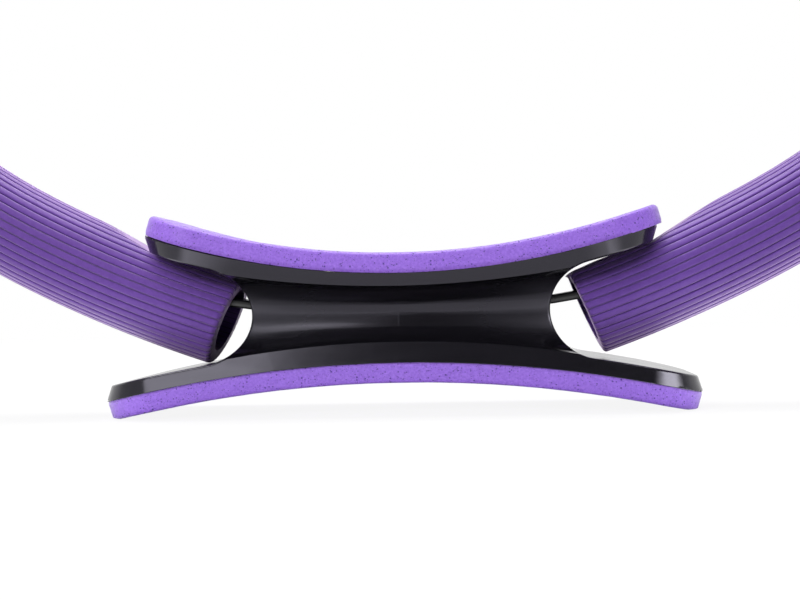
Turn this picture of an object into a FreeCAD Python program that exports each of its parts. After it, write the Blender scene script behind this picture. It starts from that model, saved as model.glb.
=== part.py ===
import FreeCAD, Part
import Sketcher
import math
import os
from FreeCAD import Rotation, Vector

doc = FreeCAD.newDocument("pilates_ring")
size = doc.addObject("Spreadsheet::Sheet", "size")
fit = doc.addObject("App::VarSet", "fit")

# Driving sizes, in millimetres and degrees
driving = [
    ("bandRadius", "158", "spring band, radius of its middle line"),
    ("bandStraight", "14", "half of the straight run inside a handle"),
    ("bandWidth", "12", "band, front to back"),
    ("bandThick", "2", "band, thickness"),
    ("bandEdge", "0.5", "band, rounding of its long edges"),
    ("bandEndGap", "6", "between the two band ends in a handle"),
    ("slotClear", "0.15", "gap round the band in its slot"),
    ("boreEase", "1.9", "sleeve bore beyond the band, each side"),
    ("sleeveWall", "3.4", "foam sleeve, wall"),
    ("sleeveClear", "0.3", "gap between foam and what it lies on"),
    ("easeStart", "28", "slope where the sleeve leaves the band's curve"),
    ("easeLength", "50", "length of the straighter sleeve end"),
    ("ribCount", "38", "lengthwise ribs round the sleeve"),
    ("ribDepth", "0.35", "grooves between the ribs, depth"),
    ("ribGroove", "0.6", "grooves between the ribs, width"),
    ("pressReach", "1.6", "how far the pressed foam runs past a flange tip"),
    ("handleDepth", "45", "handle, front to back"),
    ("cornerRadius", "13", "handle corners seen from above"),
    ("draftAngle", "20", "slope of the flange sides"),
    ("innerFaceRadius", "174", "curve of the inner pad's face"),
    ("innerFaceRise", "12.9", "inner pad's face above the band"),
    ("innerHalf", "59.2", "half length of the inner flange"),
    ("outerFaceRadius", "278", "curve of the outer pad's face"),
    ("outerFaceDrop", "16.5", "outer pad's face below the band"),
    ("outerHalf", "68.9", "half length of the outer flange"),
    ("flangeThick", "3.4", "flange outside the neck"),
    ("notchStart", "34.4", "handle's middle to the bottom of a notch"),
    ("neckDrop", "0.9", "neck's middle below the band"),
    ("waistHalf", "6.3", "half height of the neck's hollow at the middle"),
    ("hollowEase", "0.4", "flange left over the hollow at the notches"),
    ("hollowInset", "1.5", "axis of the hollow behind the front edge"),
    ("rimRound", "0.8", "rounding of the notch and flange rims"),
    ("padThick", "4.4", "foam pad, thickness"),
    ("padInset", "0.8", "pad edge inside the flange edge"),
    ("innerPadOver", "0.4", "inner pad's ends beyond its flange"),
    ("padTaper", "1.1", "pad edge leaning in, at its face"),
    ("padEdge", "1.2", "rounding of the pad's face edge"),
    ("footFlat", "0.7", "depth of the flats that the ring stands on"),
    ("tapeThick", "0.25", "adhesive sheet, thickness"),
    ("tapeInset", "1", "adhesive sheet inside the pad edge"),
    ("seatGap", "0.05", "gap between an adhesive sheet and its seat"),
    ("screwDia", "3.5", "screw, shank"),
    ("screwHead", "6.4", "screw, head across"),
    ("headHigh", "2.2", "screw, head height"),
    ("screwLong", "10", "screw, under the head"),
    ("screwPoint", "1.6", "screw, length of its point"),
    ("screwNear", "9", "handle's middle to the first screw"),
    ("screwPitch", "14", "first screw to the second"),
    ("screwClear", "0.3", "gap round a shank in the band and the wall"),
    ("threadClear", "0.05", "gap round a shank in its boss"),
    ("crossLong", "3.4", "cross recess, length"),
    ("crossWide", "0.9", "cross recess, width"),
    ("crossDeep", "1.2", "cross recess, depth"),
    ("slotWall", "2.6", "wall between the band slot and the cores"),
    ("coreWide", "17", "hollow cores, front to back"),
    ("coreWall", "3.4", "wall between a core and the notch"),
    ("middleRib", "3", "rib between the outer cores"),
    ("bossWide", "8.4", "solid left at each screw"),
]
for row, (alias, amount, meaning) in enumerate(driving, start=1):
    size.set("A%d" % row, meaning)
    size.set("B%d" % row, amount)
    size.setAlias("B%d" % row, alias)
doc.recompute()


def worked(name, expression):
    fit.addProperty("App::PropertyFloat", name)
    fit.setExpression(name, expression)


def value(name):
    return float(size.get(name) if size.getCellFromAlias(name) else getattr(fit, name))


# Sizes that follow from the driving ones; heights are from the band's straight run
worked("innerAxis", "size.innerFaceRise + size.innerFaceRadius")
worked("outerAxis", "-size.outerFaceDrop - size.outerFaceRadius")
worked("innerPadBack", "size.innerFaceRadius + size.padThick")
worked("outerPadBack", "size.outerFaceRadius + size.padThick")
worked("innerTapeBack", "fit.innerPadBack + size.tapeThick")
worked("outerTapeBack", "fit.outerPadBack + size.tapeThick")
worked("innerSeat", "fit.innerTapeBack + size.seatGap")
worked("outerSeat", "fit.outerTapeBack + size.seatGap")
worked("innerFlange", "fit.innerSeat + size.flangeThick")
worked("outerFlange", "fit.outerSeat + size.flangeThick")
worked("innerCore", "fit.innerAxis + size.neckDrop")
worked("outerCore", "-size.neckDrop - fit.outerAxis")
worked("acrossAll", "size.handleDepth + 40")
worked("hollowY", "size.hollowInset - size.handleDepth / 2")

# Notch circle that touches both flange faces and starts at notchStart
worked("notchLean", "(fit.outerFlange - fit.innerFlange) / (fit.innerAxis - fit.outerAxis)")
worked("notchBase", "(fit.innerAxis ^ 2 - fit.outerAxis ^ 2 - fit.innerFlange ^ 2 + fit.outerFlange ^ 2)"
       " / (2 * (fit.innerAxis - fit.outerAxis))")
worked("notchHalfB", "size.notchStart - (fit.innerAxis - fit.notchBase) * fit.notchLean - fit.innerFlange")
worked("notchC", "size.notchStart ^ 2 + (fit.innerAxis - fit.notchBase) ^ 2 - fit.innerFlange ^ 2")
worked("notchRoot", "sqrt(fit.notchHalfB ^ 2 - fit.notchLean ^ 2 * fit.notchC)")
worked("notchRadius", "fit.notchC / (fit.notchRoot - fit.notchHalfB)")
worked("notchX", "size.notchStart + fit.notchRadius")
worked("notchZ", "fit.notchBase + fit.notchLean * fit.notchRadius")
worked("touchInner", "fit.notchX * fit.innerFlange / (fit.innerFlange + fit.notchRadius)")
worked("touchOuter", "fit.notchX * fit.outerFlange / (fit.outerFlange + fit.notchRadius)")

# Lengthwise curve of the neck's hollow, so that it runs out inside the notches
worked("endInner", "fit.innerCore - sqrt(fit.innerFlange ^ 2 - fit.notchX ^ 2)")
worked("endOuter", "fit.outerCore - sqrt(fit.outerFlange ^ 2 - fit.notchX ^ 2)")
worked("hollowGrow", "min(fit.endInner; fit.endOuter) - size.hollowEase - size.waistHalf")
worked("waistCurve", "(fit.notchX ^ 2 + fit.hollowGrow ^ 2) / (2 * fit.hollowGrow)")

# Pads, feet and the ring's height over the floor
worked("innerPadHalf", "size.innerHalf + size.innerPadOver")
worked("outerPadHalf", "size.outerHalf - size.padInset")
worked("padDepth", "size.handleDepth - 2 * size.padInset")
worked("padCorner", "size.cornerRadius - size.padInset")
worked("innerTapeHalf", "fit.innerPadHalf - size.tapeInset")
worked("outerTapeHalf", "fit.outerPadHalf - size.tapeInset")
worked("tapeDepth", "fit.padDepth - 2 * size.tapeInset")
worked("tapeCorner", "fit.padCorner - size.tapeInset")
worked("footX", "fit.outerPadHalf - size.padTaper")
worked("footDrop", "sqrt(size.outerFaceRadius ^ 2 - fit.footX ^ 2) + fit.outerAxis")
worked("floorDrop", "fit.footDrop + size.footFlat")
worked("bandLevel", "-fit.floorDrop")
worked("ringMiddle", "fit.bandLevel + size.bandRadius")

# Band slot, cores, screws and sleeve
worked("slotHalf", "size.bandThick / 2 + size.slotClear")
worked("slotWide", "size.bandWidth + 2 * size.slotClear")
worked("coreFloor", "fit.slotHalf + size.slotWall")
worked("bossDeep", "size.screwLong - fit.coreFloor + 0.5")
worked("clearHole", "size.screwDia / 2 + size.screwClear")
worked("threadHole", "size.screwDia / 2 + size.threadClear")
worked("coreEnd", "size.notchStart - size.coreWall")
worked("screwFar", "size.screwNear + size.screwPitch")
worked("boreRadius", "size.bandWidth / 2 + size.boreEase")
worked("sleeveRadius", "fit.boreRadius + size.sleeveWall")
worked("boreRise", "sqrt(fit.boreRadius ^ 2 - size.bandWidth ^ 2 / 4)")
worked("sleeveSag", "fit.boreRise - size.bandThick / 2 - size.sleeveClear")
worked("easeRadius", "1 / (1 / size.bandRadius - 2 * fit.sleeveSag / size.easeLength ^ 2)")
doc.recompute()


# Helpers: solids bound to the sheet, and booleans of them
def bind(item, expressions):
    for place, expression in expressions.items():
        item.setExpression(place, expression)
    return item


def bar(name, radius, x, z, length="fit.acrossAll"):
    item = doc.addObject("Part::Cylinder", name)
    item.Placement.Rotation = Rotation(Vector(1, 0, 0), -90)
    return bind(item, {"Radius": radius, "Height": length, "Placement.Base.x": x,
                       "Placement.Base.y": "-(%s) / 2" % length, "Placement.Base.z": z})


def post(name, radius, x, low, high):
    item = doc.addObject("Part::Cylinder", name)
    return bind(item, {"Radius": radius, "Height": "(%s) - (%s)" % (high, low),
                       "Placement.Base.x": x, "Placement.Base.z": low})


def block(name, left, right, depth, low, high):
    item = doc.addObject("Part::Box", name)
    return bind(item, {"Length": "(%s) - (%s)" % (right, left), "Width": depth,
                       "Height": "(%s) - (%s)" % (high, low), "Placement.Base.x": left,
                       "Placement.Base.y": "-(%s) / 2" % depth, "Placement.Base.z": low})


def joined(name, *shapes):
    item = doc.addObject("Part::MultiFuse", name)
    item.Shapes = list(shapes)
    item.Refine = True
    return item


def shared(name, *shapes):
    item = doc.addObject("Part::MultiCommon", name)
    item.Shapes = list(shapes)
    return item


def without(name, base, *tools):
    item = doc.addObject("Part::Cut", name)
    item.Base = base
    item.Tool = tools[0] if len(tools) == 1 else joined(name + "_tools", *tools)
    return item


def mirrored(name, source, normal, height=None):
    item = doc.addObject("Part::Mirroring", name)
    item.Source = source
    item.Normal = normal
    if height:
        item.setExpression("Base.z", height)
    return item


def dressed(name, kind, base, chosen, first, second):
    doc.recompute()
    item = doc.addObject(kind, name)
    item.Base = base
    item.Edges = [(place, first, second) for place, edge in enumerate(base.Shape.Edges, start=1)
                  if all(chosen(point) for point in edge.discretize(6))]
    return item


def rounded_plan(name, half_long, depth, corner, tall="80"):
    sketch = doc.addObject("Sketcher::SketchObject", name + "_outline")
    doc.recompute()
    long = value(half_long.split(".")[1])
    half = value(depth.split(".")[1]) / 2
    turn = value(corner.split(".")[1])
    corners = [Vector(long, half, 0), Vector(long, -half, 0), Vector(-long, -half, 0), Vector(-long, half, 0)]
    for place in range(4):
        start = corners[place - 1]
        end = corners[place]
        step = (end - start).normalize() * turn
        sketch.addGeometry(Part.LineSegment(start + step, end - step), False)
    centres = [Vector(long - turn, half - turn, 0), Vector(long - turn, turn - half, 0),
               Vector(turn - long, turn - half, 0), Vector(turn - long, half - turn, 0)]
    for place, centre in enumerate(centres):
        circle = Part.Circle(centre, Vector(0, 0, 1), turn)
        begin = math.radians(-90 * place)
        sketch.addGeometry(Part.ArcOfCircle(circle, begin, begin + math.pi / 2), False)
    for place in range(4):
        sketch.addConstraint(Sketcher.Constraint("Tangent", place, 2, 4 + place, 2))
        sketch.addConstraint(Sketcher.Constraint("Tangent", (place + 1) % 4, 1, 4 + place, 1))
        if place:
            sketch.addConstraint(Sketcher.Constraint("Equal", 4, 4 + place))
    sketch.addConstraint(Sketcher.Constraint("Symmetric", 0, 1, 0, 2, -2))
    sketch.addConstraint(Sketcher.Constraint("Symmetric", 1, 1, 1, 2, -1))
    sketch.addConstraint(Sketcher.Constraint("Horizontal", 2))
    sketch.addConstraint(Sketcher.Constraint("Vertical", 3))
    reaches = (("DistanceX", 1, long, half_long), ("DistanceY", 0, half, depth + " / 2"))
    for kind, line, distance, expression in reaches:
        place = sketch.addConstraint(Sketcher.Constraint(kind, -1, 1, line, 1, distance))
        sketch.setExpression("Constraints[%d]" % place, expression)
    place = sketch.addConstraint(Sketcher.Constraint("Radius", 4, turn))
    sketch.setExpression("Constraints[%d]" % place, corner)
    item = doc.addObject("Part::Extrusion", name)
    item.Base = sketch
    item.DirMode = "Normal"
    item.Solid = True
    item.Symmetric = True
    item.setExpression("LengthFwd", tall)
    return item


def curved_plate(name, axis, near, far, plan):
    ring = without(name + "_ring", bar(name + "_far", far, "0", axis), bar(name + "_near", near, "0", axis))
    return shared(name, ring, plan)


def at_radius(axis, radius):
    height = value(axis)
    reach = value(radius)
    return lambda point: abs(math.hypot(point.x, point.z - height) - reach) < 0.01


# Handle body: two curved halves with sloping sides, joined by the neck
inner_plan = rounded_plan("inner_plan", "size.innerHalf", "size.handleDepth", "size.cornerRadius")
outer_plan = rounded_plan("outer_plan", "size.outerHalf", "size.handleDepth", "size.cornerRadius")
slope = math.tan(math.radians(value("draftAngle")))
halves = []
for name, axis, seat, core, plan in (("inner_half", "innerAxis", "innerSeat", "innerCore", inner_plan),
                                     ("outer_half", "outerAxis", "outerSeat", "outerCore", outer_plan)):
    plain = curved_plate(name + "_plain", "fit." + axis, "fit." + seat, "fit." + core, plan)
    deep = value(core) - value(seat) - 0.1
    halves.append(dressed(name, "Part::Chamfer", plain, at_radius(axis, core), deep * slope, deep))
web_block = block("web_block", "-fit.touchInner", "fit.touchInner", "size.handleDepth - 12", "-15", "15")
web = without("web", web_block, bar("web_top", "fit.innerSeat + 2", "0", "fit.innerAxis"),
              bar("web_bottom", "fit.outerSeat + 2", "0", "fit.outerAxis"))
handle_block = joined("handle_block", halves[0], halves[1], web)

# Notches, and the hollow along the neck at the front and back
inner_room = block("inner_gap_room", "fit.touchInner", "100", "fit.acrossAll", "fit.notchZ", "60")
inner_face = bar("inner_gap_face", "fit.innerFlange", "0", "fit.innerAxis")
outer_room = block("outer_gap_room", "fit.touchOuter", "100", "fit.acrossAll", "-60", "fit.notchZ")
outer_face = bar("outer_gap_face", "fit.outerFlange", "0", "fit.outerAxis")
notch = joined("notch", bar("notch_round", "fit.notchRadius", "fit.notchX", "fit.notchZ"),
               without("inner_gap", inner_room, inner_face), without("outer_gap", outer_room, outer_face))
hollow_rod = doc.addObject("Part::Cylinder", "hollow_rod")
hollow_rod.Placement.Rotation = Rotation(Vector(0, 1, 0), 90)
bind(hollow_rod, {"Radius": "size.waistHalf + 7", "Height": "2 * fit.notchX",
                  "Placement.Base.x": "-fit.notchX", "Placement.Base.y": "fit.hollowY",
                  "Placement.Base.z": "-size.neckDrop"})
hollow_curve = doc.addObject("Part::Torus", "hollow_curve")
hollow_curve.Placement.Rotation = Rotation(Vector(0, -1, 0), Vector(0, 0, -1), Vector(1, 0, 0), "ZXY")
bind(hollow_curve, {"Radius1": "size.waistHalf + fit.waistCurve", "Radius2": "fit.waistCurve",
                    "Placement.Base.y": "fit.hollowY", "Placement.Base.z": "-size.neckDrop"})
hollow = without("hollow", hollow_rod, hollow_curve)
sharp_body = without("sharp_body", handle_block, notch, mirrored("left_notch", notch, (1, 0, 0)),
                     hollow, mirrored("back_hollow", hollow, (0, 1, 0)))


def on_rim(point):
    x = abs(point.x)
    from_round = math.hypot(x - value("notchX"), point.z - value("notchZ")) - value("notchRadius")
    from_inner = math.hypot(x, point.z - value("innerAxis")) - value("innerFlange")
    from_outer = math.hypot(x, point.z - value("outerAxis")) - value("outerFlange")
    on_round = x <= value("notchX") and abs(from_round) < 0.003
    on_inner = x > value("touchInner") - 0.01 and abs(from_inner) < 0.003
    on_outer = x > value("touchOuter") - 0.01 and abs(from_outer) < 0.003
    outside = abs(point.y) > value("handleDepth") / 4 or x > value("innerHalf") - 4
    return outside and (on_round or on_inner or on_outer)


rim = value("rimRound")
soft_body = dressed("soft_body", "Part::Fillet", sharp_body, on_rim, rim, rim)

# Band slots, cores behind the pads and screw holes
slot_far = bar("slot_far", "size.bandRadius + fit.slotHalf", "size.bandStraight", "size.bandRadius",
               "fit.slotWide")
slot_near = bar("slot_near", "size.bandRadius - fit.slotHalf", "size.bandStraight", "size.bandRadius")
slot_room = block("slot_room", "size.bandStraight", "fit.notchX", "fit.acrossAll", "-20", "20")
slot_bend = shared("slot_bend", without("slot_ring", slot_far, slot_near), slot_room)
slot_run = block("slot_run", "size.bandEndGap / 2 - 2 * size.slotClear", "size.bandStraight", "fit.slotWide",
                 "-fit.slotHalf", "fit.slotHalf")
outer_core = block("outer_core", "size.middleRib / 2", "fit.coreEnd", "size.coreWide", "-60", "-fit.coreFloor")
inner_core = block("inner_core", "size.screwNear + size.bossWide / 2", "fit.screwFar - size.bossWide / 2",
                   "size.coreWide", "fit.coreFloor", "60")
middle_core = block("middle_core", "size.bossWide / 2 - size.screwNear", "size.screwNear - size.bossWide / 2",
                    "size.coreWide", "fit.coreFloor", "60")
side_cuts = [slot_bend, slot_run, outer_core, inner_core]
for name, place in (("near", "size.screwNear"), ("far", "fit.screwFar")):
    side_cuts.append(post(name + "_wall_hole", "fit.clearHole", place, "-fit.coreFloor - 1", "0"))
    side_cuts.append(post(name + "_boss_hole", "fit.threadHole", place, "0", "fit.bossDeep"))
right_cuts = joined("right_cuts", *side_cuts)
left_cuts = mirrored("left_cuts", right_cuts, (1, 0, 0))
lower_handle_body = without("lower_handle_body", soft_body, right_cuts, left_cuts, middle_core)

# Foam pads and the adhesive sheets under them
inner_pad_plan = rounded_plan("inner_pad_plan", "fit.innerPadHalf", "fit.padDepth", "fit.padCorner")
outer_pad_plan = rounded_plan("outer_pad_plan", "fit.outerPadHalf", "fit.padDepth", "fit.padCorner")
pads = []
lean_deep = value("padThick") - 0.5
lean_in = value("padTaper")
edge = value("padEdge")
for name, axis, face, back, plan in (
        ("inner_pad", "innerAxis", "innerFaceRadius", "innerPadBack", inner_pad_plan),
        ("outer_pad", "outerAxis", "outerFaceRadius", "outerPadBack", outer_pad_plan)):
    plain = curved_plate(name + "_plain", "fit." + axis, "size." + face, "fit." + back, plan)
    on_face = at_radius(axis, face)
    taper = dressed(name + "_taper", "Part::Chamfer", plain, on_face, lean_deep, lean_in)
    pads.append(dressed(name + "_soft", "Part::Fillet", taper, on_face, edge, edge))
lower_inner_pad = pads[0]
feet_room = block("feet_room", "-200", "200", "fit.acrossAll", "-100", "fit.floorDrop")
lower_outer_pad = without("lower_outer_pad", pads[1], feet_room)
inner_tape_plan = rounded_plan("inner_tape_plan", "fit.innerTapeHalf", "fit.tapeDepth", "fit.tapeCorner")
outer_tape_plan = rounded_plan("outer_tape_plan", "fit.outerTapeHalf", "fit.tapeDepth", "fit.tapeCorner")
lower_inner_pad_tape = curved_plate("lower_inner_pad_tape", "fit.innerAxis", "fit.innerPadBack",
                                    "fit.innerTapeBack", inner_tape_plan)
lower_outer_pad_tape = curved_plate("lower_outer_pad_tape", "fit.outerAxis", "fit.outerPadBack",
                                    "fit.outerTapeBack", outer_tape_plan)

# Spring band on the right: a half ring with a straight run into each handle
band_far = bar("band_far", "size.bandRadius + size.bandThick / 2", "size.bandStraight", "size.bandRadius",
               "size.bandWidth")
band_near = bar("band_near", "size.bandRadius - size.bandThick / 2", "size.bandStraight", "size.bandRadius")
band_room = block("band_room", "size.bandStraight", "3 * size.bandRadius", "fit.acrossAll", "-size.bandRadius",
                  "3 * size.bandRadius")
band_parts = [shared("band_bend", without("band_ring", band_far, band_near), band_room)]
for end, height in (("low", "0"), ("high", "2 * size.bandRadius")):
    band_parts.append(block("band_run_" + end, "size.bandEndGap / 2", "size.bandStraight", "size.bandWidth",
                            height + " - size.bandThick / 2", height + " + size.bandThick / 2"))
band_sharp = joined("band_sharp", *band_parts)


def on_long_edge(point):
    return abs(abs(point.y) - value("bandWidth") / 2) < 0.001 and not_band_end(point)


def not_band_end(point):
    from_face = min(abs(point.z - 2 * value("bandRadius")), abs(point.z)) - value("bandThick") / 2
    return point.x > value("bandEndGap") / 2 + 0.001 or abs(from_face) < 0.001


band_soft = dressed("band_soft", "Part::Fillet", band_sharp, on_long_edge, value("bandEdge"), value("bandEdge"))
band_holes = []
for name, place in (("near", "size.screwNear"), ("far", "fit.screwFar")):
    band_holes.append(post("band_hole_" + name, "fit.clearHole", place, "-20", "2 * size.bandRadius + 20"))
right_spring_band = without("right_spring_band", band_soft, *band_holes)


# Screws: a turned blank with a cross recess
def screw(name, place):
    body = doc.addObject("PartDesign::Body", name)
    sketch = body.newObject("Sketcher::SketchObject", name + "_outline")
    plane = [item for item in body.Origin.OriginFeatures if item.Role == "XZ_Plane"][0]
    sketch.AttachmentSupport = [(plane, "")]
    sketch.MapMode = "FlatFace"
    shank = value("screwDia") / 2
    head = value("screwHead") / 2
    tip = value("screwLong")
    top = value("headHigh")
    point = value("screwPoint")
    points = [Vector(0, tip, 0), Vector(shank, tip - point, 0), Vector(shank, 0, 0),
              Vector(head, 0, 0), Vector(head, -top, 0), Vector(0, -top, 0)]
    for start, end in zip(points, points[1:] + points[:1]):
        sketch.addGeometry(Part.LineSegment(start, end), False)
    for line in range(6):
        sketch.addConstraint(Sketcher.Constraint("Coincident", line, 2, (line + 1) % 6, 1))
    for line in (1, 3):
        sketch.addConstraint(Sketcher.Constraint("Vertical", line))
    for line in (2, 4):
        sketch.addConstraint(Sketcher.Constraint("Horizontal", line))
    sketch.addConstraint(Sketcher.Constraint("PointOnObject", 5, 1, -2))
    sketch.addConstraint(Sketcher.Constraint("PointOnObject", 5, 2, -2))
    sketch.addConstraint(Sketcher.Constraint("PointOnObject", 2, 1, -1))
    for kind, line, end, amount, expression in (
            ("DistanceX", 1, 1, shank, "size.screwDia / 2"),
            ("DistanceX", 3, 1, head, "size.screwHead / 2"),
            ("DistanceY", 0, 1, tip, "size.screwLong"),
            ("DistanceY", 0, 2, tip - point, "size.screwLong - size.screwPoint"),
            ("DistanceY", 4, 2, -top, "-size.headHigh")):
        spot = sketch.addConstraint(Sketcher.Constraint(kind, -1, 1, line, end, amount))
        sketch.setExpression("Constraints[%d]" % spot, expression)
    turned = body.newObject("PartDesign::Revolution", name + "_turned")
    turned.Profile = sketch
    turned.ReferenceAxis = (sketch, ["V_Axis"])
    turned.Angle = 360
    doc.recompute()
    for way, (long, wide) in (("along", ("crossLong", "crossWide")), ("across", ("crossWide", "crossLong"))):
        slot = body.newObject("PartDesign::SubtractiveBox", name + "_cross_" + way)
        bind(slot, {"Length": "size." + long, "Width": "size." + wide, "Height": "size.crossDeep",
                    "Placement.Base.x": "-size.%s / 2" % long, "Placement.Base.y": "-size.%s / 2" % wide,
                    "Placement.Base.z": "-size.headHigh"})
        doc.recompute()
    bind(body, {"Placement.Base.x": place, "Placement.Base.z": "fit.bandLevel - fit.coreFloor"})
    return body


screws = {"lower_left_middle_screw": screw("lower_left_middle_screw", "-size.screwNear"),
          "lower_left_end_screw": screw("lower_left_end_screw", "-fit.screwFar"),
          "lower_right_middle_screw": screw("lower_right_middle_screw", "size.screwNear"),
          "lower_right_end_screw": screw("lower_right_end_screw", "fit.screwFar")}


# Foam sleeve on the right: a ribbed tube turned along the band, straighter at its ends
def sleeve_shape():
    radius = value("sleeveRadius")
    count = int(round(value("ribCount")))
    half_groove = value("ribGroove") / 2 / radius
    pitch = 2 * math.pi / count
    low = radius - value("ribDepth")
    lean = math.radians(value("easeStart"))
    bend = value("bandRadius")
    axis = Vector(value("bandStraight"), 0, bend)
    out = Vector(math.sin(lean), 0, -math.cos(lean))
    middle = axis + out * bend

    def spot(reach, turn):
        return middle + out * (reach * math.cos(turn)) + Vector(0, reach * math.sin(turn), 0)

    edges = []
    for place in range(count):
        start = place * pitch + half_groove
        end = (place + 1) * pitch - half_groove
        top = spot(radius, (start + end) / 2)
        edges.append(Part.Arc(spot(radius, start), top, spot(radius, end)).toShape())
        edges.append(Part.makeLine(spot(radius, end), spot(low, end + half_groove)))
        edges.append(Part.makeLine(spot(low, end + half_groove), spot(radius, end + 2 * half_groove)))
    bore = Part.Wire(Part.makeCircle(value("boreRadius"), middle, out.cross(Vector(0, 1, 0))))
    face = Part.makeFace([Part.Wire(edges), bore], "Part::FaceMakerBullseye")
    ease = value("easeRadius")
    ease_axis = middle - out * ease
    ease_turn = math.degrees(value("easeLength") / ease)
    main = face.revolve(axis, Vector(0, -1, 0), 180 - 2 * value("easeStart"))
    low_end = face.revolve(ease_axis, Vector(0, 1, 0), ease_turn)
    high_end = low_end.mirror(axis, Vector(0, 0, 1))
    tube = main.fuse([low_end, high_end])
    clear = value("sleeveClear")
    reach = value("pressReach")
    wide = value("handleDepth")
    tools = []
    for height, flange, half in (("innerAxis", "innerFlange", "innerHalf"),
                                 ("outerAxis", "outerFlange", "outerHalf")):
        middle_line = Vector(0, -wide / 2, value(height))
        round_tool = Part.makeCylinder(value(flange) + clear, wide, middle_line, Vector(0, 1, 0))
        room = Part.makeBox(value(half) + reach, wide, 160, Vector(0, -wide / 2, -80))
        tool = round_tool.common(room)
        tools += [tool, tool.mirror(axis, Vector(0, 0, 1))]
    notch_room = Part.makeCylinder(value("notchRadius") - clear, wide,
                                   Vector(value("notchX"), -wide / 2, value("notchZ")), Vector(0, 1, 0))
    neck = Part.makeBox(value("touchInner"), wide, 80, Vector(0, -wide / 2, -40)).cut(notch_room)
    tools += [neck, neck.mirror(axis, Vector(0, 0, 1))]
    return tube.cut(tools).Solids[0]


right_foam_sleeve = doc.addObject("Part::Feature", "right_foam_sleeve")
right_foam_sleeve.Shape = sleeve_shape()

# Every piece lifted so that the feet stand on the floor; the upper and left ones are mirrored
nodes = dict(screws)
for name, item in (("lower_handle_body", lower_handle_body), ("lower_inner_pad", lower_inner_pad),
                   ("lower_outer_pad", lower_outer_pad), ("lower_inner_pad_tape", lower_inner_pad_tape),
                   ("lower_outer_pad_tape", lower_outer_pad_tape), ("right_spring_band", right_spring_band),
                   ("right_foam_sleeve", right_foam_sleeve)):
    item.setExpression("Placement.Base.z", "fit.bandLevel")
    nodes[name] = item
for name in [name for name in nodes if name.startswith("lower")]:
    other = name.replace("lower", "upper")
    nodes[other] = mirrored(other, nodes[name], (0, 0, 1), "fit.ringMiddle")
for name in ("right_spring_band", "right_foam_sleeve"):
    other = name.replace("right", "left")
    nodes[other] = mirrored(other, nodes[name], (1, 0, 0))
for name, item in nodes.items():
    item.Label = name
doc.recompute()

# Check and write one file for each piece
for item in doc.Objects:
    if "Invalid" in item.State or "Error" in item.State:
        raise RuntimeError(item.Name + " did not build")
os.makedirs("parts", exist_ok=True)
for name, item in nodes.items():
    shape = item.Shape
    if shape.isNull() or not shape.isValid() or len(shape.Solids) != 1:
        raise RuntimeError(name + " is not one valid solid")
    shape.Solids[0].exportStep("parts/%s.step" % name)
    print(name, round(shape.Volume, 1))
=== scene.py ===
import bpy
import math
from mathutils import Matrix, Vector


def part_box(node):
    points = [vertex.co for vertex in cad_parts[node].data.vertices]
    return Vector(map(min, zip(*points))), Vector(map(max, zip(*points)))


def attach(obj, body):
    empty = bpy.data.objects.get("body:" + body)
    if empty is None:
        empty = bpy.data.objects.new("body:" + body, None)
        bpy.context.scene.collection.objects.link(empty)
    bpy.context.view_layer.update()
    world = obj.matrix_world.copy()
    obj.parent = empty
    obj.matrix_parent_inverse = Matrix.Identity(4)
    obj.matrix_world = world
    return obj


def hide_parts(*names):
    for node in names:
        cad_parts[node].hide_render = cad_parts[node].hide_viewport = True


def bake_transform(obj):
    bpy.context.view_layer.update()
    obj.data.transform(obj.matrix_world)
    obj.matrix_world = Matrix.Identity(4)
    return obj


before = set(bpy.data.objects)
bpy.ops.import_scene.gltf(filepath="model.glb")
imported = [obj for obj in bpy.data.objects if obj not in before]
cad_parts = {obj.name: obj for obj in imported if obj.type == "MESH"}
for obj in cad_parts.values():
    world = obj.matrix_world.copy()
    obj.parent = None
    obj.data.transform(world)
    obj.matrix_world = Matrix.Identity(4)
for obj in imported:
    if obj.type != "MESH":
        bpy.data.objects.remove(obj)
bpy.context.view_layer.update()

# Spring bands: two strips of spring steel, rolled to half a ring and coated black.
# Each strip runs straight into both handles, where two screws pass through each of its ends.
# They show only in the short gap between a handle and a foam sleeve.
mm = 0.001
band_low, band_high = (Vector(corner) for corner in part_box("right_spring_band"))
band_width = band_high.y - band_low.y
band_thick = 2 * mm
band_edge = 0.5 * mm
band_edge_steps = 3
ring_middle = (band_low.z + band_high.z) / 2
band_radius = (band_high.z - band_low.z - band_thick) / 2
band_level = ring_middle - band_radius
band_straight = band_high.x - band_thick / 2 - band_radius
band_steps = 90
band_crease = 40
screw_places = (9 * mm, 23 * mm)
screw_hole = 2.05 * mm
drill_sides = 24
drill_length = 1
same_spot = 0.001 * mm
on_plane = 0.01 * mm


# Adds a primitive at its size and place, with its place kept in its mesh.
def new_piece(name, add, stretch=(1, 1, 1), **settings):
    bpy.ops.object.select_all(action="DESELECT")
    add(**settings)
    piece = bpy.context.object
    piece.scale = stretch
    bpy.ops.object.transform_apply(location=True, rotation=True, scale=True)
    piece.name = name
    piece.data.name = name
    return piece


def take_up(piece):
    bpy.ops.object.select_all(action="DESELECT")
    piece.select_set(True)
    bpy.context.view_layer.objects.active = piece


def edit(piece, kind="VERT"):
    take_up(piece)
    bpy.ops.object.mode_set(mode="EDIT")
    bpy.ops.mesh.select_mode(type=kind)
    bpy.ops.mesh.select_all(action="SELECT")


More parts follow.
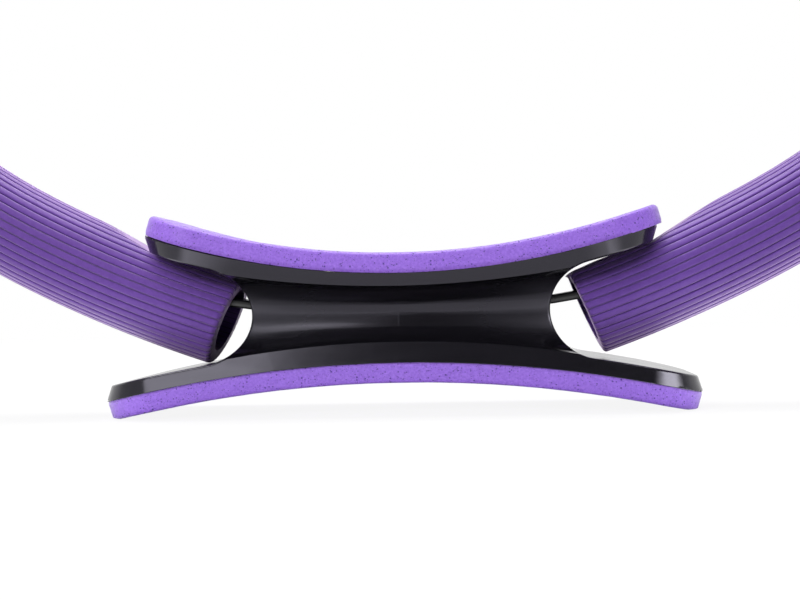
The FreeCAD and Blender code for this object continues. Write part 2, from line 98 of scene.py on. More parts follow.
# Selects the points, edges or faces of which every corner is wanted.
def pick(piece, wanted, kind="VERT"):
    bpy.ops.mesh.select_mode(type=kind)
    bpy.ops.mesh.select_all(action="DESELECT")
    bpy.ops.object.mode_set(mode="OBJECT")
    mesh = piece.data
    parts = {"VERT": mesh.vertices, "EDGE": mesh.edges, "FACE": mesh.polygons}[kind]
    for part in parts:
        corners = [part.index] if kind == "VERT" else part.vertices
        part.select = all(wanted(mesh.vertices[corner].co) for corner in corners)
    bpy.ops.object.mode_set(mode="EDIT")


def done(outward=False):
    bpy.ops.mesh.select_all(action="SELECT")
    if outward:
        bpy.ops.mesh.remove_doubles(threshold=same_spot)
        bpy.ops.mesh.normals_make_consistent(inside=False)
    bpy.ops.object.mode_set(mode="OBJECT")


def shape_with(piece, kind, **settings):
    take_up(piece)
    modifier = piece.modifiers.new(kind.lower(), kind)
    for name, setting in settings.items():
        setattr(modifier, name, setting)
    bpy.ops.object.modifier_apply(modifier=modifier.name)


def smooth(piece, crease):
    take_up(piece)
    bpy.ops.object.shade_smooth_by_angle(angle=math.radians(crease))


# Copies a right-hand piece to the left, with its own mesh turned the right way out.
def left_twin(piece, name):
    twin = piece.copy()
    twin.data = piece.data.copy()
    twin.name = name
    twin.data.name = name
    bpy.context.scene.collection.objects.link(twin)
    edit(twin)
    bpy.ops.transform.resize(value=(-1, 1, 1), center_override=(0, 0, ring_middle))
    done(outward=True)
    return twin


# Turns an sRGB hex colour to linear values.
def linear(code):
    shares = [int(code[place:place + 2], 16) / 255 for place in (1, 3, 5)]
    steps = [share / 12.92 if share <= 0.04045 else ((share + 0.055) / 1.055) ** 2.4
             for share in shares]
    return (*steps, 1)


# Adds a node: an input given as a socket is linked, any other is set.
def add_node(tree, kind, inputs, **settings):
    made = tree.nodes.new("ShaderNode" + kind)
    for name, setting in settings.items():
        setattr(made, name, setting)
    for socket, given in inputs.items():
        if isinstance(given, bpy.types.NodeSocket):
            tree.links.new(given, made.inputs[socket])
        else:
            made.inputs[socket].default_value = given
    return made


def new_material(name):
    material = bpy.data.materials.new(name)
    material.use_nodes = True
    material.node_tree.nodes.clear()
    return material, material.node_tree


right_band = new_piece("right_band", bpy.ops.mesh.primitive_plane_add, size=1,
                       location=(band_straight, 0, band_level), rotation=(0, math.pi / 2, 0),
                       stretch=(band_thick, band_width, 1))
edit(right_band)
bpy.ops.mesh.bevel(offset=band_edge, affect="VERTICES", segments=band_edge_steps)
bpy.ops.mesh.select_all(action="SELECT")
bpy.ops.mesh.spin(steps=band_steps, angle=math.pi, center=(band_straight, 0, ring_middle),
                  axis=(0, 1, 0))
for height in (band_level, 2 * ring_middle - band_level):
    pick(right_band, lambda spot: (abs(spot.x - band_straight) < on_plane
                                   and abs(spot.z - height) < band_thick), "FACE")
    bpy.ops.mesh.extrude_region_move(
        TRANSFORM_OT_translate={"value": (band_low.x - band_straight, 0, 0)})
done(outward=True)
for screw_place in screw_places:
    drill = new_piece("drill", bpy.ops.mesh.primitive_cylinder_add, vertices=drill_sides,
                      radius=screw_hole, depth=drill_length,
                      location=(screw_place, 0, ring_middle))
    shape_with(right_band, "BOOLEAN", object=drill, operation="DIFFERENCE", solver="EXACT")
    bpy.data.objects.remove(drill)
smooth(right_band, band_crease)
left_band = left_twin(right_band, "left_band")

# Black oxide on rolled spring steel: near black and satin, with lines along the strip that
# break up its shine. Real rolling lines are too fine to show, so they are drawn 0.5 mm apart.
rolling_length = 6 * mm
rolling_squeeze = 12
rolling_depth = 0.05 * mm
coated_steel, tree = new_material("black_oxide_spring_steel")
spot = add_node(tree, "TexCoord", {}).outputs["Object"]
rolled = add_node(tree, "Mapping", {"Vector": spot, "Scale": (1, rolling_squeeze, 1)})
lines = add_node(tree, "TexNoise", {"Vector": rolled.outputs["Vector"],
                                    "Scale": 1 / rolling_length, "Detail": 4})
shade = add_node(tree, "ValToRGB", {"Fac": lines.outputs["Fac"]})
shade.color_ramp.elements[0].color = linear("#050506")
shade.color_ramp.elements[1].color = linear("#0C0B0E")
gloss = add_node(tree, "MapRange", {"Value": lines.outputs["Fac"],
                                    "To Min": 0.22, "To Max": 0.36})
relief = add_node(tree, "Bump", {"Height": lines.outputs["Fac"], "Strength": 0.15,
                                 "Distance": rolling_depth})
steel = add_node(tree, "BsdfPrincipled", {"Base Color": shade.outputs["Color"],
                                          "Roughness": gloss.outputs["Result"],
                                          "IOR": 1.55, "Normal": relief.outputs["Normal"]})
add_node(tree, "OutputMaterial", {"Surface": steel.outputs["BSDF"]})

for band, node in ((right_band, "right_spring_band"), (left_band, "left_spring_band")):
    band.data.materials.append(coated_steel)
    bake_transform(band)
    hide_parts(node)

# Handle bodies: one moulding each, black ABS from a polished tool, with two slides that meet
# at the middle of the neck and leave a fine witness line there. The bands sit in their slots.
# The flanges keep a sharp crease to the hollow, so smoothing stops at a small angle.
witness_cuts = (-0.5 * mm, -0.16 * mm, 0, 0.16 * mm, 0.5 * mm)
witness_rise = 0.015 * mm
neck_reach = 7.5 * mm
neck_front = 10 * mm
handle_crease = 22
face_weight = 50
weld_gap = 0.002 * mm
sliver = 0.01 * mm


# Copies a CAD node's loose triangles as one joined mesh.
def merged_copy(node, name):
    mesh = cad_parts[node].data.copy()
    mesh.name = name
    mesh.materials.clear()
    piece = bpy.data.objects.new(name, mesh)
    bpy.context.scene.collection.objects.link(piece)
    edit(piece)
    bpy.ops.mesh.remove_doubles(threshold=weld_gap)
    bpy.ops.mesh.dissolve_degenerate(threshold=sliver)
    bpy.ops.object.mode_set(mode="OBJECT")
    return piece


handles = []
for end, neck_level in (("lower", band_level), ("upper", 2 * ring_middle - band_level)):
    handle = merged_copy(end + "_handle_body", end + "_handle_moulding")
    edit(handle)
    for cut in witness_cuts:
        bpy.ops.mesh.select_all(action="SELECT")
        bpy.ops.mesh.bisect(plane_co=(cut, 0, 0), plane_no=(1, 0, 0))
    pick(handle, lambda spot: (abs(spot.x) < same_spot and abs(spot.y) > neck_front
                               and abs(spot.z - neck_level) < neck_reach))
    bpy.ops.transform.shrink_fatten(value=witness_rise)
    done()
    smooth(handle, handle_crease)
    shape_with(handle, "WEIGHTED_NORMAL", keep_sharp=True, weight=face_weight)
    handles.append(handle)

# Moulded ABS: near black, and glossy where the tool was polished, with faint flow lines along
# the handle. In the neck's hollow the polish gets coarser towards the notches, so reflections
# there blur out. Flow lines and tool grain are finer than a pixel and are drawn coarser.
flow_width = 2.5 * mm
flow_stretch = 0.12
flow_depth = 0.06 * mm
grain_size = 0.5 * mm
grain_depth = 0.02 * mm
hollow_inside, hollow_edge = 5.5 * mm, 8 * mm
coarse_start, coarse_end = 5 * mm, 34 * mm
abs_plastic, tree = new_material("moulded_black_abs")
spot = add_node(tree, "TexCoord", {}).outputs["Object"]
flow = add_node(tree, "Mapping", {"Vector": spot, "Scale": (flow_stretch, 1, 1)})
streaks = add_node(tree, "TexNoise", {"Vector": flow.outputs["Vector"],
                                      "Scale": 1 / flow_width, "Detail": 5})
grain = add_node(tree, "TexNoise", {"Vector": spot, "Scale": 1 / grain_size, "Detail": 3})
shade = add_node(tree, "ValToRGB", {"Fac": streaks.outputs["Fac"]})
shade.color_ramp.elements[0].color = linear("#09080B")
shade.color_ramp.elements[1].color = linear("#131217")
polish = add_node(tree, "MapRange", {"Value": streaks.outputs["Fac"],
                                     "From Min": 0.3, "From Max": 0.7,
                                     "To Min": 0.13, "To Max": 0.19})
axes = add_node(tree, "SeparateXYZ", {"Vector": spot})
from_ring = add_node(tree, "Math", {0: axes.outputs["Z"], 1: ring_middle}, operation="SUBTRACT")
either_end = add_node(tree, "Math", {0: from_ring.outputs[0]}, operation="ABSOLUTE")
from_band = add_node(tree, "Math", {0: either_end.outputs[0], 1: band_radius},
                     operation="SUBTRACT")
either_way = add_node(tree, "Math", {0: from_band.outputs[0]}, operation="ABSOLUTE")
hollow = add_node(tree, "MapRange", {"Value": either_way.outputs[0],
                                     "From Min": hollow_inside, "From Max": hollow_edge,
                                     "To Min": 1.0, "To Max": 0.0})
sideways = add_node(tree, "Math", {0: axes.outputs["X"]}, operation="ABSOLUTE")
coarse = add_node(tree, "MapRange", {"Value": sideways.outputs[0],
                                     "From Min": coarse_start, "From Max": coarse_end,
                                     "To Min": 0.0, "To Max": 0.2})
gloss = add_node(tree, "Math", {0: hollow.outputs["Result"], 1: coarse.outputs["Result"],
                                2: polish.outputs["Result"]}, operation="MULTIPLY_ADD")
ripples = add_node(tree, "Bump", {"Height": streaks.outputs["Fac"], "Strength": 0.12,
                                  "Distance": flow_depth})
relief = add_node(tree, "Bump", {"Height": grain.outputs["Fac"], "Strength": 0.04,
                                 "Distance": grain_depth, "Normal": ripples.outputs["Normal"]})
plastic = add_node(tree, "BsdfPrincipled", {"Base Color": shade.outputs["Color"],
                                            "Roughness": gloss.outputs[0], "IOR": 1.53,
                                            "Specular Tint": linear("#F0ECFF"),
                                            "Normal": relief.outputs["Normal"]})
add_node(tree, "OutputMaterial", {"Surface": plastic.outputs["BSDF"]})

for handle, end in zip(handles, ("lower", "upper")):
    handle.data.materials.append(abs_plastic)
    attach(handle, end + "_handle")
    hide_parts(end + "_handle_body")

# Screws: pan heads with a cross recess, cold-headed from steel wire and zinc plated.
# Two pass through each band end into bosses in the handle, and the outer pads hide them.
# Zinc plate: pale grey and bright, with a soft cloudy bloom in its shine.
bloom_size = 0.8 * mm
zinc_plate, tree = new_material("zinc_plated_steel")
spot = add_node(tree, "TexCoord", {}).outputs["Object"]
bloom = add_node(tree, "TexNoise", {"Vector": spot, "Scale": 1 / bloom_size, "Detail": 4})
shade = add_node(tree, "ValToRGB", {"Fac": bloom.outputs["Fac"]})
shade.color_ramp.elements[0].color = linear("#A9ABB0")
shade.color_ramp.elements[1].color = linear("#D3D5D8")
gloss = add_node(tree, "MapRange", {"Value": bloom.outputs["Fac"],
                                    "To Min": 0.25, "To Max": 0.45})
zinc = add_node(tree, "BsdfPrincipled", {"Base Color": shade.outputs["Color"], "Metallic": 1.0,
                                         "Roughness": gloss.outputs["Result"]})
add_node(tree, "OutputMaterial", {"Surface": zinc.outputs["BSDF"]})
for end in ("lower", "upper"):
    for side in ("left", "right"):
        for which in ("middle", "end"):
            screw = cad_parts["%s_%s_%s_screw" % (end, side, which)]
            screw.data.materials.clear()
            screw.data.materials.append(zinc_plate)

# Adhesive sheets: thin double-sided tissue tape, cut a little smaller than each pad it holds.
# It is black, so that its edge doesn't show in the seam between a pad and its flange.
# Tissue tape: a dull dark sheet with a cloudy web of fibres, drawn coarse enough to show.
fibre_size = 1.5 * mm
tissue_tape, tree = new_material("black_tissue_tape")
spot = add_node(tree, "TexCoord", {}).outputs["Object"]
fibres = add_node(tree, "TexNoise", {"Vector": spot, "Scale": 1 / fibre_size, "Detail": 6})
shade = add_node(tree, "ValToRGB", {"Fac": fibres.outputs["Fac"]})
shade.color_ramp.elements[0].color = linear("#0E0D12")
shade.color_ramp.elements[1].color = linear("#1C1A22")
tape = add_node(tree, "BsdfPrincipled", {"Base Color": shade.outputs["Color"],
                                         "Roughness": 0.7, "IOR": 1.47})
add_node(tree, "OutputMaterial", {"Surface": tape.outputs["BSDF"]})
for end in ("lower", "upper"):
    for face in ("inner", "outer"):
        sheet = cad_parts["%s_%s_pad_tape" % (end, face)]
        sheet.data.materials.clear()
        sheet.data.materials.append(tissue_tape)

# Pads: moulded EVA foam, 4.4 mm thick, pressed to the handle's curve with a rounded face edge.
# Each is stuck on by hand, so the lower inner one sits a little to the right. The foam settles
# into its adhesive, so each back is moved out to its flange, and the faces are a little uneven.
inner_axis = band_level + 186.9 * mm
inner_back = 178.45 * mm
outer_axis = band_level - 294.5 * mm
outer_back = 282.4 * mm
back_skin = 0.1 * mm
seat_close = 0.24 * mm
inner_pad_shift = 0.6 * mm
outer_pad_pull = 1.008
foam_fineness = 8
foam_fill = 0.95
foam_waves = 16 * mm
wave_rise = 0.14 * mm
foam_cells = 1.6 * mm
cell_rise = 0.04 * mm
foam_middle = 0.6
pad_crease = 40
waves = bpy.data.textures.new("foam_waves", "CLOUDS")
waves.noise_scale = foam_waves
cells = bpy.data.textures.new("foam_cells", "CLOUDS")
cells.noise_scale = foam_cells

pads = []
for end in ("lower", "upper"):
    for face in ("inner", "outer"):
        node = "%s_%s_pad" % (end, face)
        pad = merged_copy(node, node + "_foam")
        axis, back = (inner_axis, inner_back) if face == "inner" else (outer_axis, outer_back)
        axis = axis if end == "lower" else 2 * ring_middle - axis
        settle = 1 + seat_close / back
        edit(pad)
        pick(pad, lambda spot: math.hypot(spot.x, spot.z - axis) > back - back_skin)
        bpy.ops.transform.resize(value=(settle, 1, settle), center_override=(0, 0, axis))
        done()
        if node == "lower_inner_pad":
            edit(pad)
            bpy.ops.transform.translate(value=(inner_pad_shift, 0, 0))
            done()
        if face == "outer":
            edit(pad)
            bpy.ops.transform.resize(value=(outer_pad_pull, 1, 1), center_override=(0, 0, 0))
            done()
        shape_with(pad, "REMESH", mode="SHARP", octree_depth=foam_fineness, scale=foam_fill,
                   sharpness=1.0)
        shape_with(pad, "DISPLACE", texture=waves, strength=wave_rise, mid_level=foam_middle)
        shape_with(pad, "DISPLACE", texture=cells, strength=cell_rise, mid_level=foam_middle)
        smooth(pad, pad_crease)
        pads.append((pad, node, end))

# EVA foam: closed cells that give a soft mottled violet, a lilac bloom along edges seen at a
# low angle, and small pits where cells broke open, which are darkened with painted shade. Real
# cells are about
# 0.15 mm, too fine to show, so the mottle and the pits (spacing, widest share of it) are drawn
# coarser.
mottle_size = 0.55 * mm
mottle_depth = 0.12 * mm
pit_layers = ((0.95 * mm, 0.26), (0.7 * mm, 0.28), (0.45 * mm, 0.28))
pit_depth = 0.25 * mm
eva_foam, tree = new_material("violet_eva_foam")
spot = add_node(tree, "TexCoord", {}).outputs["Object"]
mottle = add_node(tree, "TexNoise", {"Vector": spot, "Scale": 1 / mottle_size, "Detail": 3,
                                     "Roughness": 0.6})
shade = add_node(tree, "ValToRGB", {"Fac": mottle.outputs["Fac"]})
shade.color_ramp.elements[0].position = 0.3
shade.color_ramp.elements[0].color = linear("#875DCC")
shade.color_ramp.elements[1].position = 0.7
shade.color_ramp.elements[1].color = linear("#9E74E0")
pits = None
for spacing, widest in pit_layers:
    holes = add_node(tree, "TexVoronoi", {"Vector": spot, "Scale": 1 / spacing,
                                          "Randomness": 1.0})
    chance = add_node(tree, "SeparateColor", {"Color": holes.outputs["Color"]})
    reach = add_node(tree, "MapRange", {"Value": chance.outputs["Red"],
                                        "From Min": 0.1, "From Max": 1.0,
                                        "To Min": 0.0, "To Max": widest})
    rim = add_node(tree, "Math", {0: holes.outputs["Distance"], 1: reach.outputs["Result"]},
                   operation="SUBTRACT")
    layer = add_node(tree, "MapRange", {"Value": rim.outputs[0],
                                        "From Min": -0.1, "From Max": 0.02})
    pits = layer if pits is None else add_node(
        tree, "Math", {0: pits.outputs[0], 1: layer.outputs[0]}, operation="MINIMUM")
# The pits' dark violet is painted shade in the open cells.
pit_shaded = add_node(tree, "Mix", {0: pits.outputs[0], 6: linear("#4C318E"),
                                7: shade.outputs["Color"]}, data_type="RGBA")
fine = add_node(tree, "Bump", {"Height": mottle.outputs["Fac"], "Strength": 0.35,
                               "Distance": mottle_depth})
relief = add_node(tree, "Bump", {"Height": pits.outputs[0], "Strength": 0.5,
                                 "Distance": pit_depth, "Normal": fine.outputs["Normal"]})
foam = add_node(tree, "BsdfPrincipled", {"Base Color": pit_shaded.outputs[2], "Roughness": 0.42,
                                         "IOR": 1.48, "Specular IOR Level": 0.5,
                                         "Sheen Weight": 0.4, "Sheen Roughness": 0.4,
                                         "Sheen Tint": linear("#E2D5FF"),
                                         "Normal": relief.outputs["Normal"]})
add_node(tree, "OutputMaterial", {"Surface": foam.outputs["BSDF"]})
for pad, node, end in pads:
    pad.data.materials.append(eva_foam)
    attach(pad, end + "_handle")
    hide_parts(node)

# Sleeves: extruded NBR foam tubes with lengthwise ribs, pushed over the bands before the
# handles go on. Their ends run straighter than the bands and are cut off by hand, a little
# aslant, and lie under the inner flanges, whose tips press a dent into the foam.
sleeve_outer = 11.3 * mm
sleeve_bore = 7.9 * mm
sleeve_middle = (sleeve_outer + sleeve_bore) / 2
sleeve_crease = 50
rib_count = 38
rib_points = 8
rib_sides = rib_count * rib_points
# Each entry is a point of the rib, counted from its groove, and how far that is pushed in.
rib_depths = ((0, 0.44 * mm), (1, 0.06 * mm), (7, 0.06 * mm), (4, -0.02 * mm))
same_point_digits = 6
ease_start = math.radians(28)
ease_length = 50 * mm
ease_radius = 306.9 * mm
ease_turn = ease_length / ease_radius
main_steps = 60
ease_steps = 40
lip_round = 0.9 * mm
lip_steps = 3

ring_axis = Vector((band_straight, 0, ring_middle))
ease_out = Vector((math.sin(ease_start), 0, -math.cos(ease_start)))
ease_axis = ring_axis + ease_out * (band_radius - ease_radius)
upper_ease_axis = Vector((ease_axis.x, 0, 2 * ring_middle - ease_axis.z))
end_angle = ease_start - ease_turn
end_out = Vector((math.sin(end_angle), 0, -math.cos(end_angle)))
end_point = ease_axis + end_out * ease_radius


def rounded(spot):
    return tuple(round(number, same_point_digits) for number in spot)


right_sleeve = new_piece("right_sleeve", bpy.ops.mesh.primitive_circle_add, vertices=rib_sides,
                         radius=sleeve_outer)
# The groove points carry a mask for the painted shade in the grooves.
groove = right_sleeve.data.attributes.new("groove", "FLOAT", "POINT")
for corner in range(0, rib_sides, rib_points):
    groove.data[corner].value = 1
edit(right_sleeve, "EDGE")
bpy.ops.mesh.extrude_region_move()
bpy.ops.transform.resize(value=(sleeve_bore / sleeve_outer,) * 3, center_override=(0, 0, 0))
for first, deep in rib_depths:
    moving = {rounded(right_sleeve.data.vertices[corner].co)
              for corner in range(first, rib_sides, rib_points)}
    pick(right_sleeve, lambda spot: rounded(spot) in moving)
    share = 1 - deep / sleeve_outer
    bpy.ops.transform.resize(value=(share, share, 1), center_override=(0, 0, 0))
done()
right_sleeve.data.transform(Matrix.Translation(end_point)
                            @ Matrix.Rotation(math.pi / 2 - end_angle, 4, "Y"))
edit(right_sleeve, "FACE")
for steps, turn, centre in ((ease_steps, ease_turn, ease_axis),
                            (main_steps, math.pi - 2 * ease_start, ring_axis),
                            (ease_steps, ease_turn, upper_ease_axis)):
    bpy.ops.mesh.spin(steps=steps, angle=turn, center=centre, axis=(0, 1, 0))
done(outward=True)


# Gives a point's twin on the lower half, how far along from the cut end it is, and how far
# above the tube's middle line.
def along(spot):
    low = Vector((spot.x, spot.y, min(spot.z, 2 * ring_middle - spot.z)))
    out = low - ease_axis
    run = (math.atan2(out.x, -out.z) - end_angle) * ease_radius
    rise = ease_radius - math.hypot(out.x, out.z)
    return low, run, rise


def on_lip(spot):
    low, run, rise = along(spot)
    return run < on_plane and math.hypot(rise, spot.y) > sleeve_middle


edit(right_sleeve)
pick(right_sleeve, on_lip, "EDGE")
bpy.ops.mesh.bevel(offset=lip_round, affect="EDGES", segments=lip_steps, clamp_overlap=False)
done()
left_sleeve = left_twin(right_sleeve, "left_sleeve")

# The dent: the flange's inner face, its tip and the notch set the room that the foam has.
# Beyond the tip the foam rises again on a slope that steepens, and its bore gives way too.
flange_curve = 182.15 * mm
flange_half = 59.2 * mm
notch_x = 45.43 * mm
notch_z = 23.13 * mm
notch_round = 11.03 * mm
touch_x = 42.84 * mm
foam_gap = 0.1 * mm
notch_gap = 1.0 * mm
gap_reach = 8 * mm
dent_slope = 0.62
dent_curve = 2
press_soft = 0.6 * mm
press_bore = 0.9 * mm
cut_reach = 18 * mm
# Each cut: its shift along the tube, its lean with height, its skew with depth, and a drop.
right_cut = (-0.6 * mm, 0.084, 0, 0)
left_cut = (0.75 * mm, 0.09, 0.05, 0.5 * mm)


def room_under_flange(across):
    if across < touch_x:
        reach = min(abs(across - notch_x), notch_round - notch_gap)
        return notch_z + math.sqrt((notch_round - notch_gap) ** 2 - reach ** 2)
    inside = min(across, flange_half)
    past = across - inside
    free = max(0, 1 - (across - touch_x) / gap_reach) ** 2
    gap = foam_gap + (notch_gap - foam_gap) * free
    level = inner_axis - math.sqrt(flange_curve ** 2 - inside ** 2) - gap
    return level + dent_slope * past + dent_curve * past ** 2


# Slants the cut ends, then presses each point down to the room it has, with a soft corner.
def press_ends(sleeve, side, cut):
    shift, lean, skew, drop = cut
    for point in sleeve.data.vertices:
        spot = Vector((side * point.co.x, point.co.y, point.co.z))
        low, run, rise = along(spot)
        if run > ease_length:
            point.co.z -= drop
            continue
        high = spot.z > ring_middle
        in_bore = math.hypot(rise, spot.y) < sleeve_middle
        fade = max(0, 1 - run / cut_reach) ** 2
        turn = (shift + lean * rise + skew * spot.y) * fade / ease_radius
        moved = ease_axis + Matrix.Rotation(turn, 3, "Y") @ (low - ease_axis)
        moved.z += drop if high else -drop
        room = room_under_flange(moved.x) - (press_bore if in_bore else 0)
        share = min(1, max(0, 0.5 + 0.5 * (room - moved.z) / press_soft))
        moved.z = room + (moved.z - room) * share - press_soft * share * (1 - share)
        point.co = (side * moved.x, moved.y, 2 * ring_middle - moved.z if high else moved.z)


press_ends(right_sleeve, 1, right_cut)
press_ends(left_sleeve, -1, left_cut)
for sleeve in (right_sleeve, left_sleeve):
    smooth(sleeve, sleeve_crease)

# Extruded NBR foam: a matt violet skin that pales to lilac at a low angle. The thin dark lines
# in the grooves between the ribs are painted shade, on top of the grooves' real depth. Its
# cells are too fine to show, so its faint mottle is drawn at 1.2 mm.
skin_mottle = 1.2 * mm
skin_depth = 0.08 * mm
sleeve_foam, tree = new_material("violet_nbr_foam")
spot = add_node(tree, "TexCoord", {}).outputs["Object"]
mottle = add_node(tree, "TexNoise", {"Vector": spot, "Scale": 1 / skin_mottle, "Detail": 4})
shade = add_node(tree, "ValToRGB", {"Fac": mottle.outputs["Fac"]})
shade.color_ramp.elements[0].color = linear("#543484")
shade.color_ramp.elements[1].color = linear("#6C47A0")
# The groove mask darkens the skin along each groove: painted shade, not a dye.
groove_shade_mask = add_node(tree, "Attribute", {}, attribute_name="groove")
groove_shaded = add_node(tree, "Mix", {0: groove_shade_mask.outputs["Fac"], 6: shade.outputs["Color"],
                               7: linear("#33205E")}, data_type="RGBA")
relief = add_node(tree, "Bump", {"Height": mottle.outputs["Fac"], "Strength": 0.2,
                                 "Distance": skin_depth})
skin = add_node(tree, "BsdfPrincipled", {"Base Color": groove_shaded.outputs[2], "Roughness": 0.42,
                                         "IOR": 1.5, "Specular IOR Level": 0.42,
                                         "Specular Tint": linear("#DCC6FF"),
                                         "Sheen Weight": 1.0, "Sheen Roughness": 0.5,
                                         "Sheen Tint": linear("#EFD2FF"),
                                         "Normal": relief.outputs["Normal"]})
add_node(tree, "OutputMaterial", {"Surface": skin.outputs["BSDF"]})
for sleeve, node in ((right_sleeve, "right_foam_sleeve"), (left_sleeve, "left_foam_sleeve")):
    sleeve.data.materials.append(sleeve_foam)
    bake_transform(sleeve)
    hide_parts(node)

# Floor: a sheet of white paper under the ring. It shows white to the camera and keeps a share
# of its own shading near the ring, which is the ring's faint shadow.
floor_size = 6
floor_drop = 0.2 * mm
shadow_near, shadow_far = 0.2, 0.6
floor = new_piece("floor", bpy.ops.mesh.primitive_plane_add, size=floor_size,
                  location=(0, 0, -floor_drop))

# Matt white paper: a bright even ground. To the glossy mouldings it shows a painted shadow in
# an oval under the handle and a painted pool of light at each side, glowing above white, dimmer
# further out.
# To the matt foam it is painted grey in front, painted shade so that less light comes back up
# from there.
oval_squash = 0.6
oval_inside, oval_edge = 0.040, 0.054
pool_start, pool_full, pool_glow = 0.056, 0.07, 3.4
pool_end, pool_gone, pool_rest = 0.08, 0.11, 0.3
grey_from, grey_to = -0.12, -0.04
paper_with_painted_light, tree = new_material("white_paper_with_painted_light")
ray = add_node(tree, "LightPath", {})
spot = add_node(tree, "TexCoord", {}).outputs["Object"]
axes = add_node(tree, "SeparateXYZ", {"Vector": spot})
away = add_node(tree, "VectorMath", {0: spot}, operation="LENGTH")
white = add_node(tree, "MapRange", {"Value": away.outputs["Value"],
                                    "From Min": shadow_near, "From Max": shadow_far,
                                    "To Min": 0.9, "To Max": 1.0})
oval = add_node(tree, "VectorMath", {0: spot, 1: (oval_squash, 1, 0)}, operation="MULTIPLY")
from_handle = add_node(tree, "VectorMath", {0: oval.outputs["Vector"]}, operation="LENGTH")
clear = add_node(tree, "MapRange", {"Value": from_handle.outputs["Value"],
                                    "From Min": oval_inside, "From Max": oval_edge,
                                    "To Min": 0.0, "To Max": 1.0})
mirrored = add_node(tree, "Math", {0: ray.outputs["Is Glossy Ray"], 1: clear.outputs["Result"]},
                    operation="MULTIPLY")
looked_at = add_node(tree, "Math", {0: ray.outputs["Is Camera Ray"], 1: mirrored.outputs[0]},
                     operation="MAXIMUM")
seen = add_node(tree, "Math", {0: looked_at.outputs[0], 1: ray.outputs["Is Transmission Ray"]},
                operation="MAXIMUM")
glow_share = add_node(tree, "Math", {0: seen.outputs[0], 1: white.outputs["Result"]},
                      operation="MULTIPLY")
under = add_node(tree, "Math", {0: ray.outputs["Is Glossy Ray"], 1: mirrored.outputs[0]},
                 operation="SUBTRACT")
# The dark #202022 is painted shadow, seen only in reflections inside the oval under the handle.
shaded = add_node(tree, "Mix", {0: under.outputs[0], 6: linear("#F4F4F4"),
                                7: linear("#202022")}, data_type="RGBA")
in_front = add_node(tree, "MapRange", {"Value": axes.outputs["Y"],
                                       "From Min": grey_from, "From Max": grey_to,
                                       "To Min": 1.0, "To Max": 0.0})
greyed = add_node(tree, "Math", {0: ray.outputs["Is Diffuse Ray"],
                                 1: in_front.outputs["Result"]}, operation="MULTIPLY")
# The grey #6A6A6C in front is painted shade, seen only by light bouncing up to the foam.
painted_grey_tone = add_node(tree, "Mix", {0: greyed.outputs[0], 6: shaded.outputs[2],
                              7: linear("#6A6A6C")}, data_type="RGBA")
paper = add_node(tree, "BsdfDiffuse", {"Color": painted_grey_tone.outputs[2]})
# The pools are painted light: in reflections the paper glows up to 3.4 times white at both
# sides.
sideways = add_node(tree, "Math", {0: axes.outputs["X"]}, operation="ABSOLUTE")
pool = add_node(tree, "MapRange", {"Value": sideways.outputs[0],
                                   "From Min": pool_start, "From Max": pool_full,
                                   "To Min": 1.0, "To Max": pool_glow})
beyond = add_node(tree, "MapRange", {"Value": sideways.outputs[0],
                                     "From Min": pool_end, "From Max": pool_gone,
                                     "To Min": 1.0, "To Max": pool_rest})
painted_pools = add_node(tree, "Math", {0: pool.outputs["Result"], 1: beyond.outputs["Result"]},
                 operation="MULTIPLY")
bright = add_node(tree, "Mix", {0: ray.outputs["Is Glossy Ray"], 2: 1.0, 3: painted_pools.outputs[0]})
glow = add_node(tree, "Emission", {"Color": linear("#FFFFFF"), "Strength": bright.outputs[0]})
sweep = add_node(tree, "MixShader", {0: glow_share.outputs[0], 1: paper.outputs[0],
                                     2: glow.outputs[0]})
add_node(tree, "OutputMaterial", {"Surface": sweep.outputs[0]})
floor.data.materials.append(paper_with_painted_light)

# Studio: white walls behind and to the left, and a dim room in front and to the right. The
# camera sees plain white. Matt faces get only a little light from the walls.
room_dim, room_white = 0.12, 1.0
room_from, room_to = -0.2, 0.35
wall_lean = 0.1
wall_left, wall_none = 0.65, 0.05
wall_from, wall_to = -0.1, -0.02
wall_to_matt = 0.06
studio = bpy.data.worlds.new("white_studio")
bpy.context.scene.world = studio
studio.use_nodes = True
tree = studio.node_tree
tree.nodes.clear()
ray = add_node(tree, "LightPath", {})
way = add_node(tree, "TexCoord", {}).outputs["Generated"]
axes = add_node(tree, "SeparateXYZ", {"Vector": way})
back_wall = add_node(tree, "MapRange", {"Value": axes.outputs["Y"],
                                        "From Min": room_from, "From Max": room_to,
                                        "To Min": room_dim, "To Max": room_white})
leaning = add_node(tree, "Math", {0: axes.outputs["Z"], 1: wall_lean, 2: axes.outputs["X"]},
                   operation="MULTIPLY_ADD")
left_wall = add_node(tree, "MapRange", {"Value": leaning.outputs[0],
                                        "From Min": wall_from, "From Max": wall_to,
                                        "To Min": wall_left, "To Max": wall_none})
walls = add_node(tree, "Math", {0: back_wall.outputs["Result"], 1: left_wall.outputs["Result"]},
                 operation="MAXIMUM")
matt = add_node(tree, "MapRange", {"Value": ray.outputs["Is Diffuse Ray"],
                                   "To Min": 1.0, "To Max": wall_to_matt})
lit = add_node(tree, "Math", {0: walls.outputs[0], 1: matt.outputs[0]}, operation="MULTIPLY")
seen = add_node(tree, "Math", {0: ray.outputs["Is Camera Ray"],
                               1: ray.outputs["Is Transmission Ray"]}, operation="MAXIMUM")
level = add_node(tree, "Math", {0: lit.outputs[0], 1: seen.outputs[0]}, operation="MAXIMUM")
sky = add_node(tree, "Background", {"Color": linear("#FFFFFF"), "Strength": level.outputs[0]})
add_node(tree, "OutputWorld", {"Surface": sky.outputs[0]})

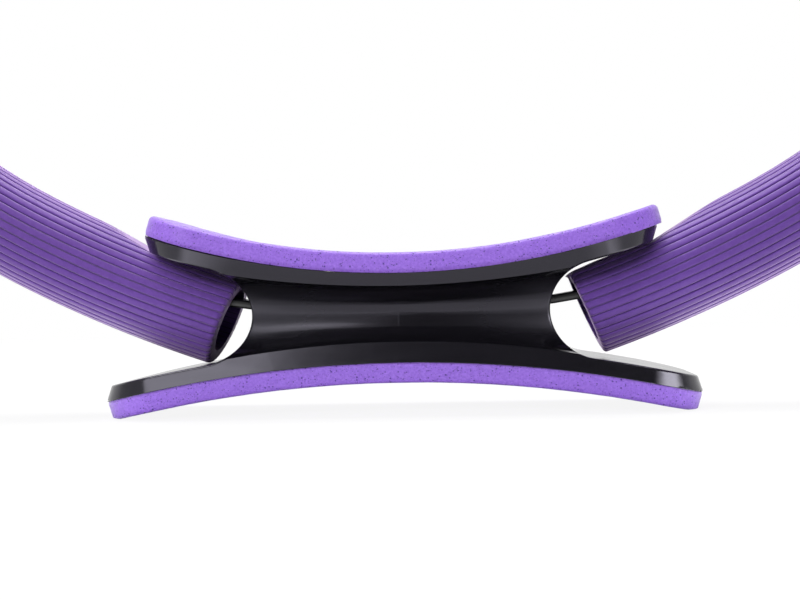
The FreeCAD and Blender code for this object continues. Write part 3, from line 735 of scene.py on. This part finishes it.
# Lamps: soft boxes, with a key at the upper left, one low in front and two high overhead.
# The front box and the low card at the right light the matt foam and are kept out of
# reflections. The side box is only there as a soft-edged shine on the glossy mouldings.
handle_middle = (0, 0, 0.03)
above_handle = (0, 0, 0.1)
right_wing = (0.05, 0, 0.03)


def soft_box(name, place, aim, wide, tall, watts):
    lamp = bpy.data.lights.new(name, "AREA")
    lamp.shape = "RECTANGLE"
    lamp.size = wide
    lamp.size_y = tall
    lamp.energy = watts
    box = bpy.data.objects.new(name, lamp)
    bpy.context.scene.collection.objects.link(box)
    box.location = place
    box.rotation_euler = (Vector(aim) - Vector(place)).to_track_quat("-Z", "Y").to_euler()
    return box


soft_box("key_box", (-0.526, -0.911, 0.794), handle_middle, wide=0.52, tall=0.42, watts=2.9)
front_box = soft_box("front_box", (-0.25, -1.12, 0.4), handle_middle, wide=0.6, tall=0.17,
                     watts=7.6)
front_box.visible_glossy = False
soft_box("over_box", (-0.3, 0.36, 3.4), above_handle, wide=2.7, tall=2.1, watts=122)
soft_box("top_box", (-0.75, 0.75, 3.7), above_handle, wide=3.0, tall=2.25, watts=60)
side_box = soft_box("side_box", (0.88, -0.52, 0.48), right_wing, wide=1.2, tall=0.5, watts=20)
side_box.visible_diffuse = False
side_box.light_linking.receiver_collection = bpy.data.collections.new("glossy_mouldings")
for handle in handles:
    side_box.light_linking.receiver_collection.objects.link(handle)
side_card = soft_box("side_card", (0.9, 0.08, 0.14), right_wing, wide=0.3, tall=0.2, watts=4)
side_card.visible_glossy = False

# The side box is full in its middle fifth and fades to nothing at both ends.
box_middle, box_full, box_end = 0.5, 0.1, 0.5
side_box.data.use_nodes = True
tree = side_box.data.node_tree
tree.nodes.clear()
on_box = add_node(tree, "NewGeometry", {}).outputs["Parametric"]
box_axes = add_node(tree, "SeparateXYZ", {"Vector": on_box})
from_middle = add_node(tree, "Math", {0: box_axes.outputs["X"], 1: box_middle},
                       operation="SUBTRACT")
either_end = add_node(tree, "Math", {0: from_middle.outputs[0]}, operation="ABSOLUTE")
fade = add_node(tree, "MapRange", {"Value": either_end.outputs[0],
                                   "From Min": box_full, "From Max": box_end,
                                   "To Min": 1.0, "To Max": 0.0},
                interpolation_type="SMOOTHSTEP")
glow = add_node(tree, "Emission", {"Strength": fade.outputs["Result"]})
add_node(tree, "OutputLight", {"Surface": glow.outputs[0]})

# Camera: at the height of the neck, 35 cm in front of the ring and a little to the right, as
# the photograph was taken. Its place, turn and lens were fitted to points of the handle.
camera_place = Vector((18.92, -351.6, 29.5)) * mm
camera_turn = math.radians(3.183)
camera_tilt = math.radians(-0.581)
camera_roll = math.radians(-1.206)
focal_pixels = 1477.8
frame_pixels = 800
lens = bpy.data.cameras.new("camera")
lens.sensor_width = 36
lens.lens = lens.sensor_width * focal_pixels / frame_pixels
lens.clip_start = 0.01
camera = bpy.data.objects.new("camera", lens)
bpy.context.scene.collection.objects.link(camera)
ahead = Vector((-math.sin(camera_turn) * math.cos(camera_tilt),
                math.cos(camera_turn) * math.cos(camera_tilt), math.sin(camera_tilt)))
level_right = Vector((math.cos(camera_turn), math.sin(camera_turn), 0))
level_up = level_right.cross(ahead)
right = level_right * math.cos(camera_roll) + level_up * math.sin(camera_roll)
up = level_up * math.cos(camera_roll) - level_right * math.sin(camera_roll)
camera.matrix_world = Matrix((right, up, -ahead)).transposed().to_4x4()
camera.location = camera_place
bpy.context.scene.camera = camera
bpy.context.scene.view_settings.view_transform = "Standard"
